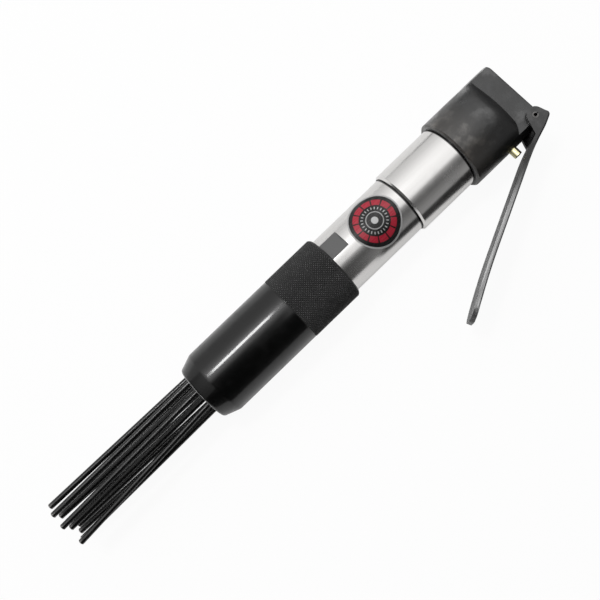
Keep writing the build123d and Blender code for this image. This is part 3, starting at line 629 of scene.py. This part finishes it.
def label_finish():
    """Glossy printed film with rings, segments and ticks about the sticker's centre."""
    material, tree, shader, coords = new_finish("label_printed_film", 0.0, specular=0.4)
    from_centre = {0: coords, 1: tuple(label_centre)}
    moved = place(tree, "ShaderNodeVectorMath", from_centre, operation="SUBTRACT").outputs[0]
    in_plane = {0: moved, 1: (1.0, 1.0, 0.0)}
    flat = place(tree, "ShaderNodeVectorMath", in_plane, operation="MULTIPLY").outputs[0]
    reach = place(tree, "ShaderNodeVectorMath", {0: flat}, operation="LENGTH").outputs["Value"]
    share = maths(tree, "DIVIDE", reach, label_radius)
    sides = parts_of(tree, moved)
    turn_share = maths(tree, "DIVIDE", maths(tree, "ARCTAN2", sides[1], sides[0]), 2 * math.pi)
    segment_place = maths(tree, "FRACT", times(tree, turn_share, float(SEGMENTS)))
    between = maths(tree, "GREATER_THAN", segment_place, SEGMENT_SHARE)
    gaps = times(tree, between, within(tree, share, *RED_RING))
    tick_place = maths(tree, "FRACT", times(tree, turn_share, float(TICKS)))
    on_tick = maths(tree, "LESS_THAN", tick_place, TICK_SHARE)
    ticks = times(tree, on_tick, within(tree, share, *TICK_RING))
    printed = blend(tree, gaps, ring_colours(tree, share), INK)
    printed = blend(tree, ticks, printed, SILVER)
    scuffs = use(tree, long_streaks, Vector=coords, Length=6.0 * MM, Width=0.3 * MM)
    scuffed = spread(tree, scuffs, *SCUFF_STEP, 0.0, SCUFF_SHARE)
    colour = blend(tree, scuffed, printed, SCUFF_TONE)
    finish_with(tree, shader, colour, spread(tree, scuffs, *FILM_SPAN, *FILM_ROUGHNESS))
    return material


# %% Make the finishes and give them to the solid pieces
BRASS = (0.97, 0.90, 0.55, 1.0)
finishes = {
    "cast_black": casting_finish(),
    "bright_steel": polished_finish("barrel_polished_steel", tone=0.72, corner_x=sleeve_high.x, flats=True),
    "bright_sleeve": polished_finish("sleeve_polished_steel", tone=0.76, corner_x=head_high.x, flats=False),
    "black_oxide": oxide_finish(),
    "lever_steel": lever_finish(),
    "pin_steel": metal_finish("pin_rolled_steel", grey(0.14, 0.02), gloss=0.36, mark=0.3 * MM),
    "stem_brass": metal_finish("stem_turned_brass", BRASS, gloss=0.26, mark=0.4 * MM),
    "plug_steel": metal_finish("plug_zinc_plate", grey(0.45, 0.02), gloss=0.28, mark=0.4 * MM),
    "needle_steel": needle_finish(),
    "tool_steel": metal_finish("ground_tool_steel", grey(0.52), gloss=0.24, mark=0.5 * MM),
    "spring_steel": metal_finish("oiled_spring_wire", grey(0.34), gloss=0.26, mark=0.3 * MM),
    "seal_rubber": rubber_finish(),
    "label_film": label_finish(),
}
slot_of = {part["node"]: part["material_slot"] for part in frame["record"]["subparts"]}
for name, node in nodes.items():
    node.data.materials.clear()
    node.data.materials.append(finishes[slot_of[name]])
print("finishes given to", len(nodes), "nodes:", sorted(finishes))

# %% [markdown]
# ## From arrays to meshes
# New pieces are surfaces on a grid of rows and columns, computed as whole numpy arrays. One helper turns a
# grid into faces, with or without closing it on itself, and one helper turns points and faces into a
# finished piece.

# %% Grid and piece helpers
SHARP_ANGLE = math.radians(38.0)


def grid_faces(rows, columns, close_rows):
    """Four-sided faces of a grid that closes around its columns, and along its rows if asked."""
    row = np.arange(rows if close_rows else rows - 1)[:, None]
    column = np.arange(columns)[None, :]
    below, above = row * columns, (row + 1) % rows * columns
    right = (column + 1) % columns
    corners = (below + column, below + right, above + right, above + column)
    return np.stack([np.broadcast_to(c, (len(row), columns)) for c in corners], axis=-1).reshape(-1, 4)


def volume_of(points, faces):
    """Signed volume of closed faces, summed as tents over the origin: positive if they face outwards."""
    first, second, third, fourth = (points[faces[:, i]] for i in (0, 1, 2, -1))
    tents = np.einsum("ij,ij->i", first, np.cross(second, third))
    if faces.shape[1] > 3:
        tents = tents + np.einsum("ij,ij->i", first, np.cross(third, fourth))
    return tents.sum() / 6.0


def make_piece(name, points, face_sets, body, slot, replaced=None):
    """Mesh piece from points and arrays of faces, turned outwards, smooth but for sharp edges, on a body."""
    inside_out = sum(volume_of(points, faces) for faces in face_sets) < 0
    step = -1 if inside_out else 1
    faces = [face for part in face_sets for face in part[:, ::step].tolist()]
    mesh = bpy.data.meshes.new(name)
    mesh.from_pydata(points.tolist(), [], faces)
    mesh.shade_smooth()
    mesh.set_sharp_from_angle(angle=SHARP_ANGLE)
    mesh.materials.append(finishes[slot])
    piece = bpy.data.objects.new(name, mesh)
    bpy.context.scene.collection.objects.link(piece)
    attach(piece, body)
    if replaced:
        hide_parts(replaced)
    triangles = sum(len(part) * (part.shape[1] - 2) for part in face_sets)
    print(name, len(points), "points", triangles, "triangles")
    return piece


# %% [markdown]
# ## Knurled nose sleeve
# The rear of the nose has a diamond knurl for the hand. Two sets of V grooves cross it at opposite slants
# and leave small pyramids. On a grid with four rows and four columns to a diamond, every groove and ridge
# runs through grid points, so the pyramids are exact if each grid cell is split along the diagonal that
# its groove follows. A bump could only shade the pyramids, so real faces are made.

# %% Round an outline's corners
LONGEST_CUT = 0.45
CORNER_STEPS = 5


def rounded(corners, cut):
    """Open outline whose inner corners are cut off and become quadratic Bezier curves."""
    before, corner, after = corners[:-2], corners[1:-1], corners[2:]
    back, ahead = before - corner, after - corner
    back_length = np.linalg.norm(back, axis=1, keepdims=True)
    ahead_length = np.linalg.norm(ahead, axis=1, keepdims=True)
    size = np.minimum(cut, LONGEST_CUT * np.minimum(back_length, ahead_length))
    start = corner + back / back_length * size
    end = corner + ahead / ahead_length * size
    t = np.linspace(0.0, 1.0, CORNER_STEPS)[None, :, None]
    curves = (1 - t) ** 2 * start[:, None] + 2 * t * (1 - t) * corner[:, None] + t ** 2 * end[:, None]
    return np.concatenate([corners[:1], curves.reshape(-1, 2), corners[-1:]])


# %% Nose outline
KNURL_DEPTH = 0.42 * MM
KNURL_STEP = 0.2 * MM
REAR_RIM_RADIUS = barrel_radius + 1.1 * MM
REAR_CHAMFER = 1.2 * MM
FRONT_RADIUS = nose_radius - 2.75 * MM
FRONT_ROUND = 0.8 * MM
FRONT_WALL = 4.8 * MM
CHAMBER_RADIUS = 14.7 * MM
THREAD_RADIUS = barrel_radius + 0.05 * MM
EDGE_CUT = 0.7 * MM

nose_mesh = nodes["nose_sleeve"].data
solid_points = np.empty(3 * len(nose_mesh.vertices))
nose_mesh.vertices.foreach_get("co", solid_points)
solid_x, solid_y, solid_z = solid_points.reshape(-1, 3).T
opening_radius = np.hypot(solid_y, solid_z)[solid_x > nose_high.x - FRONT_ROUND / 2].min()
print("nose opening radius in mm", round(opening_radius / MM, 2))
knurl_radius = nose_high.y
root_radius = knurl_radius - KNURL_DEPTH
chamfer_slope = (knurl_radius - REAR_RIM_RADIUS) / REAR_CHAMFER
knurl_start_x = nose_low.x + (root_radius - REAR_RIM_RADIUS) / chamfer_slope
nose_corners = np.array([
    (knurl_end_x, root_radius), (knurl_end_x + KNURL_STEP, nose_radius), (taper_x, nose_radius),
    (nose_high.x - FRONT_ROUND, FRONT_RADIUS), (nose_high.x, FRONT_RADIUS - FRONT_ROUND),
    (nose_high.x, opening_radius), (nose_high.x - FRONT_WALL, opening_radius),
    (nose_high.x - FRONT_WALL, CHAMBER_RADIUS), (barrel_high.x, CHAMBER_RADIUS),
    (barrel_high.x, THREAD_RADIUS), (nose_low.x, THREAD_RADIUS), (nose_low.x, REAR_RIM_RADIUS),
    (knurl_start_x, root_radius),
])
plain_rows = rounded(nose_corners, EDGE_CUT)

# %% Knurl pyramids
KNURL_AROUND = 80
CELLS = 4
knurl_columns = KNURL_AROUND * CELLS
cell_arc = 2 * math.pi * knurl_radius / knurl_columns
knurl_rows = round((knurl_end_x - knurl_start_x) / cell_arc)
row_index, column_index = np.meshgrid(np.arange(knurl_rows + 1), np.arange(knurl_columns), indexing="ij")


def groove(slanted):
    """Height across one set of V grooves: 0 in a groove, 1 half way to the next."""
    return 2 * np.abs(slanted / CELLS - np.round(slanted / CELLS))


knurl_height = np.minimum(groove(row_index + column_index), groove(row_index - column_index))
knurl_x = np.linspace(knurl_start_x, knurl_end_x, knurl_rows + 1)[:, None]
crest_limit = np.minimum(REAR_RIM_RADIUS + chamfer_slope * (knurl_x - nose_low.x),
                         nose_radius + (knurl_end_x - knurl_x))
knurl_r = np.minimum(root_radius + KNURL_DEPTH * knurl_height, np.maximum(crest_limit, root_radius))
knurl_r[[0, -1]] = root_radius
print("knurl of", knurl_rows, "rows and", knurl_columns, "columns")

# %% Join outline and knurl into one closed sleeve
plain_count = len(plain_rows) - 2
all_x = np.concatenate([np.broadcast_to(knurl_x, knurl_r.shape),
                        np.broadcast_to(plain_rows[1:-1, :1], (plain_count, knurl_columns))])
all_r = np.concatenate([knurl_r, np.broadcast_to(plain_rows[1:-1, 1:], (plain_count, knurl_columns))])
angle = np.linspace(0.0, 2 * math.pi, knurl_columns, endpoint=False)[None, :]
nose_points = np.stack([all_x, all_r * np.cos(angle), all_r * np.sin(angle)], axis=-1).reshape(-1, 3)
nose_quads = grid_faces(len(all_x), knurl_columns, True)
knurl_quads = nose_quads[:knurl_rows * knurl_columns]
cell_row, cell_column = np.divmod(np.arange(len(knurl_quads)), knurl_columns)
even = (cell_row + cell_column) % 2 == 0
knurl_triangles = np.concatenate([
    knurl_quads[even][:, [0, 1, 2]], knurl_quads[even][:, [0, 2, 3]],
    knurl_quads[~even][:, [0, 1, 3]], knurl_quads[~even][:, [1, 2, 3]],
])
make_piece("nose_knurled_sleeve", nose_points, [knurl_triangles, nose_quads[len(knurl_quads):]],
           "tool_body", "black_oxide", "nose_sleeve")

# %% [markdown]
# ## Coil springs
# Two springs work inside: one closes the air valve, and one in the nose throws the needles back. A spring
# is a circle carried along a helix. Both shorten when the tool is used, but here each coil is made at its
# rest length.

# %% Carry a circle along a helix
WIRE_SIDES, TURN_STEPS = 14, 36


def helix_tube(radius, wire, height, turns):
    """Points of a tube on a helix about Z: the centre turns evenly, and the circle stands square to it."""
    angle = np.linspace(0.0, 2 * math.pi * turns, turns * TURN_STEPS + 1)[:, None]
    rise = (height - wire) / (2 * math.pi * turns)
    length = math.hypot(radius, rise)
    zero = np.zeros_like(angle)
    outward = np.stack([np.cos(angle), np.sin(angle), zero], axis=-1)
    upward = np.stack([np.sin(angle) * rise, -np.cos(angle) * rise, zero + radius], axis=-1) / length
    centre = outward * radius + np.stack([zero, zero, wire / 2 + rise * angle], axis=-1)
    round_angle = np.linspace(0.0, 2 * math.pi, WIRE_SIDES, endpoint=False)[None, :, None]
    tube = centre + wire / 2 * (np.cos(round_angle) * outward + np.sin(round_angle) * upward)
    return tube.reshape(-1, 3), grid_faces(len(angle), WIRE_SIDES, False)


def end_caps(count, sides):
    """Two triangle fans that close the ends of a tube with the given number of points."""
    fan = np.stack([np.zeros(sides - 2, int), np.arange(1, sides - 1), np.arange(2, sides)], axis=-1)
    return np.concatenate([fan[:, ::-1], fan + count - sides])


# %% Make both springs
def coil_piece(name, node, axis, wire, turns):
    """Spring in place of a solid one: it fills the solid's box."""
    low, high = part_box(node)
    low, high = np.array(low), np.array(high)
    centre = (low + high) / 2
    side = (axis + 1) % 3
    radius = (high[side] - low[side]) / 2 - wire / 2
    height = high[axis] - low[axis]
    points, faces = helix_tube(radius, wire, height, turns)
    order = [2, 0, 1] if axis == 0 else [1, 2, 0]
    offset = centre.copy()
    offset[axis] = low[axis]
    piece = make_piece(name, points[:, order] + offset, [faces, end_caps(len(points), WIRE_SIDES)],
                       "tool_body", "spring_steel", node)
    anchor = centre.copy()
    anchor[axis] = high[axis] if axis == 0 else low[axis]
    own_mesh(piece)


coil_piece("return_spring_coil", "return_spring", axis=0, wire=1.9 * MM, turns=5)
coil_piece("valve_spring_coil", "valve_spring", axis=1, wire=0.8 * MM, turns=5)

# %% [markdown]
# ## Inlet thread
# Seen from behind, the air inlet shows its pipe thread. A thread is a small ridge carried along a helix on
# the wall of the hole, and its height dies away at both ends as a cut thread's does.

# %% Thread ridge
THREAD_PITCH = 1.337 * MM
THREAD_HEIGHT = 0.55 * MM
THREAD_STEPS = 64
THREAD_START, THREAD_FREE = 0.7 * THREAD_PITCH, 2.0 * THREAD_PITCH
FADE_LEAST = 0.05
RIDGE_PLACES = np.array([-0.48, -0.08, 0.08, 0.48])
RIDGE_RISE = np.array([-0.05, 1.0, 1.0, -0.05])
inlet = mounts["air_inlet"]
inlet_radius = inlet["dims"]["r_mm"] * MM
thread_length = inlet["dims"]["length_mm"] * MM - THREAD_FREE
thread_turns = thread_length / THREAD_PITCH
thread_angle = np.linspace(0.0, 2 * math.pi * thread_turns, int(thread_turns * THREAD_STEPS))[:, None]
end_fade = np.clip(np.minimum(thread_angle, thread_angle[-1] - thread_angle) / math.pi, FADE_LEAST, 1.0)
ridge_r = inlet_radius - RIDGE_RISE[None, :] * THREAD_HEIGHT * end_fade
ridge_x = THREAD_START + thread_angle / (2 * math.pi) * THREAD_PITCH + RIDGE_PLACES[None, :] * THREAD_PITCH
thread_points = np.stack([ridge_x, ridge_r * np.cos(thread_angle), ridge_r * np.sin(thread_angle)], axis=-1)
thread_faces = grid_faces(len(thread_angle), len(RIDGE_PLACES), False)
thread_ends = end_caps(thread_points.size // 3, len(RIDGE_PLACES))
make_piece("inlet_thread_ridge", thread_points.reshape(-1, 3), [thread_faces, thread_ends],
           "tool_body", "tool_steel")

# %% [markdown]
# ## Floor and light
# The tool lies on a plain white table under one broad glowing panel, which makes the bright band on the
# polished steel. Upright cards on both sides give the steel its grey bands. Cards beyond both ends, dark
# at the table and brighter higher up, darken every edge that faces forwards or backwards, and a dark card
# that lies behind the tool keeps the head's rear edges from mirroring the table. Over the nose the panel is
# bright on one side only, so that the nose falls off to black, and a small lamp draws the sharp line on it.
# The table is lifted towards white for the camera, and keeps the tool's soft shadow.


# %% Stage helpers
def sheet_on_stage(name, corners, material, camera_sees):
    """One flat sheet from its corners, seen by the camera only if asked."""
    mesh = bpy.data.meshes.new(name)
    mesh.from_pydata(corners, [], [tuple(range(len(corners)))])
    mesh.materials.append(material)
    sheet = bpy.data.objects.new(name, mesh)
    sheet.visible_camera = camera_sees
    bpy.context.scene.collection.objects.link(sheet)
    return sheet


def level_corners(low, high, z):
    """Corners of a level rectangle between two (X, Y) points."""
    return [(*low, z), (high[0], low[1], z), (*high, z), (low[0], high[1], z)]


# %% Floor
FLOOR_REACH = 4.0
FLOOR_WHITE_SHARE = 0.94
FLOOR_MIRROR_SHARE = 0.30
FLOOR_LOOK = {"Base Color": grey(0.88), "Roughness": 0.9, "Specular IOR Level": 0.1}
floor_material = bpy.data.materials.new("floor_white")
floor_material.use_nodes = True
floor_tree = floor_material.node_tree
floor_shader = floor_tree.nodes["Principled BSDF"]
for label, value in FLOOR_LOOK.items():
    floor_shader.inputs[label].default_value = value
floor_glow = place(floor_tree, "ShaderNodeEmission", {"Color": grey(1.0), "Strength": 1.0})
floor_rays = place(floor_tree, "ShaderNodeLightPath").outputs
mirrored = maths(floor_tree, "MAXIMUM", floor_rays["Is Glossy Ray"], floor_rays["Is Transmission Ray"])
mirrored = times(floor_tree, mirrored, FLOOR_MIRROR_SHARE)
seen = times(floor_tree, floor_rays["Is Camera Ray"], FLOOR_WHITE_SHARE)
floor_share = maths(floor_tree, "MAXIMUM", seen, mirrored)
floor_mix = place(floor_tree, "ShaderNodeMixShader",
                  {0: floor_share, 1: floor_shader.outputs[0], 2: floor_glow.outputs[0]})
floor_tree.links.new(floor_mix.outputs[0], floor_tree.nodes["Material Output"].inputs[0])
floor_corners = level_corners((-FLOOR_REACH, -FLOOR_REACH), (FLOOR_REACH, FLOOR_REACH), floor_z)
sheet_on_stage("floor", floor_corners, floor_material, True)

# %% Room light
WORLD_FILL = 0.35
world = bpy.data.worlds.new("white_room")
bpy.context.scene.world = world
world.use_nodes = True
world_tree = world.node_tree
world_rays = place(world_tree, "ShaderNodeLightPath").outputs
world_seen = maths(world_tree, "MAXIMUM", world_rays["Is Camera Ray"], world_rays["Is Glossy Ray"])
world_seen = maths(world_tree, "MAXIMUM", world_seen, world_rays["Is Transmission Ray"])
world_strength = spread(world_tree, world_seen, 0.0, 1.0, WORLD_FILL, 1.0)
world_tree.links.new(world_strength, world_tree.nodes["Background"].inputs["Strength"])
world_tree.nodes["Background"].inputs["Color"].default_value = grey(1.0)

# %% Glowing sheets
SHEET_HALF_LENGTH = 1.5
NOSE_LIGHT_X = 20.0 * MM
NOSE_LIGHT_FADE = 50.0 * MM


def new_glow(name):
    """A material for a glowing sheet: gives the material, its tree and the X, Y and Z of its coordinates."""
    material = bpy.data.materials.new(name)
    material.use_nodes = True
    tree = material.node_tree
    return material, tree, parts_of(tree, place(tree, "ShaderNodeTexCoord").outputs["Object"])


def glow_with(tree, level, strength):
    """Link a level to an emission shader, and the shader to the material's output."""
    glow = place(tree, "ShaderNodeEmission", {"Color": level, "Strength": strength})
    tree.links.new(glow.outputs[0], tree.nodes["Material Output"].inputs[0])


def level_ramp(tree, share, levels):
    """Greys that run through (share, level) pairs, as an output socket."""
    ramp = place(tree, "ShaderNodeValToRGB", {0: share})
    stops = ramp.color_ramp.elements
    stops[0].position, stops[1].position = levels[0][0], levels[-1][0]
    stops[0].color, stops[1].color = grey(levels[0][1]), grey(levels[-1][1])
    for position, level in levels[1:-1]:
        stops.new(position).color = grey(level)
    return ramp.outputs[0]


def glowing_sheet(name, near_edge, far_edge, strength, rear_levels, nose_levels):
    """Sheet along X between two (Y, Z) edges: its glow follows one ramp across it, another over the nose."""
    material, tree, sides = new_glow(name)
    axis = 1 if abs(far_edge[0] - near_edge[0]) > abs(far_edge[1] - near_edge[1]) else 2
    start, end = near_edge[axis - 1], far_edge[axis - 1]
    share = maths(tree, "DIVIDE", maths(tree, "SUBTRACT", sides[axis], start), end - start)
    over_nose = spread(tree, sides[0], NOSE_LIGHT_X, NOSE_LIGHT_X + NOSE_LIGHT_FADE, 0.0, 1.0)
    rear, nose = level_ramp(tree, share, rear_levels), level_ramp(tree, share, nose_levels)
    glow_with(tree, blend(tree, over_nose, rear, nose), strength)
    low_x, high_x = CAMERA_STATION - SHEET_HALF_LENGTH, CAMERA_STATION + SHEET_HALF_LENGTH
    corners = [(low_x, *near_edge), (high_x, *near_edge), (high_x, *far_edge), (low_x, *far_edge)]
    sheet_on_stage(name, corners, material, False)


# %% Panel overhead and cards at the sides
PANEL_DISTANCE = 1.26
PANEL_STRENGTH, CARD_STRENGTH = 1.6, 1.0


def edge_at(degrees, distance):
    """Y and Z of a point over the tool at an angle from straight up, towards the lever if positive."""
    return (distance * math.sin(math.radians(degrees)), distance * math.cos(math.radians(degrees)))


panel_left = edge_at(degrees=-50.0, distance=PANEL_DISTANCE)
panel_right = edge_at(degrees=21.0, distance=PANEL_DISTANCE)
glowing_sheet(
    "glow_panel", panel_left, panel_right, PANEL_STRENGTH,
    rear_levels=((0.0, 0.61), (0.2, 0.71), (0.5, 0.75), (0.95, 0.71), (1.0, 0.45)),
    nose_levels=((0.0, 0.50), (0.15, 0.70), (0.30, 0.92), (0.60, 0.98), (0.69, 0.40), (0.77, 0.02),
                 (1.0, 0.0)))
glowing_sheet(
    "pale_card", (panel_left[0], floor_z), panel_left, CARD_STRENGTH,
    rear_levels=((0.0, 0.70), (0.4, 0.78), (1.0, 1.0)),
    nose_levels=((0.0, 0.60), (0.5, 0.75), (1.0, 0.90)))
glowing_sheet(
    "grey_card", (panel_right[0], floor_z), panel_right, CARD_STRENGTH,
    rear_levels=((0.0, 0.31), (0.10, 0.29), (0.22, 0.22), (0.38, 0.12), (0.55, 0.18), (0.80, 0.34),
                 (1.0, 0.70)),
    nose_levels=((0.0, 0.03), (1.0, 0.0)))

# %% Dark cards beyond both ends and behind the tool
FRONT_CARD_X = 1.1
FRONT_GLOW = (0.02, 0.55)
REAR_CARD_X = -1.0
REAR_GLOW = (0.10, 0.45)
LYING_CARD_END = -0.03
LYING_CARD_LIFT = 0.5 * MM


def end_card(name, x, glow):
    """Card square to X that glows less at the floor than at its top; gives its material."""
    material, tree, sides = new_glow(name)
    glow_with(tree, spread(tree, sides[2], floor_z, panel_right[1], *glow), CARD_STRENGTH)
    corners = [(x, panel_left[0], floor_z), (x, panel_right[0], floor_z),
               (x, *panel_right), (x, *panel_left)]
    sheet_on_stage(name, corners, material, False)
    return material


end_card("front_end_card", FRONT_CARD_X, FRONT_GLOW)
rear_material = end_card("rear_end_card", REAR_CARD_X, REAR_GLOW)
lying_corners = level_corners((REAR_CARD_X, panel_left[0]), (LYING_CARD_END, panel_right[0]),
                              floor_z + LYING_CARD_LIFT)
lying_card = sheet_on_stage("rear_lying_card", lying_corners, rear_material, False)
lying_card.visible_shadow = False
lying_card.visible_diffuse = False

# %% Small lamp for the line on the nose
LAMP_STATION = 209.0 * MM
LAMP_LEAN = math.radians(-18.6)
LAMP_DISTANCE = 0.95
LAMP_LENGTH, LAMP_WIDTH = 0.22, 0.12
LAMP_RADIANCE = 34.0
lamp_data = bpy.data.lights.new("small_lamp", "AREA")
lamp_data.shape = "RECTANGLE"
lamp_data.size, lamp_data.size_y = LAMP_LENGTH, LAMP_WIDTH
lamp_data.energy = LAMP_RADIANCE * math.pi * LAMP_LENGTH * LAMP_WIDTH
lamp = bpy.data.objects.new("small_lamp", lamp_data)
lamp_away = Vector((0.0, math.sin(LAMP_LEAN), math.cos(LAMP_LEAN)))
lamp_turn = Matrix((along, lamp_away.cross(along), lamp_away)).transposed().to_4x4()
lamp.matrix_world = Matrix.Translation(along * LAMP_STATION + lamp_away * LAMP_DISTANCE) @ lamp_turn
lamp.visible_camera = False
bpy.context.scene.collection.objects.link(lamp)
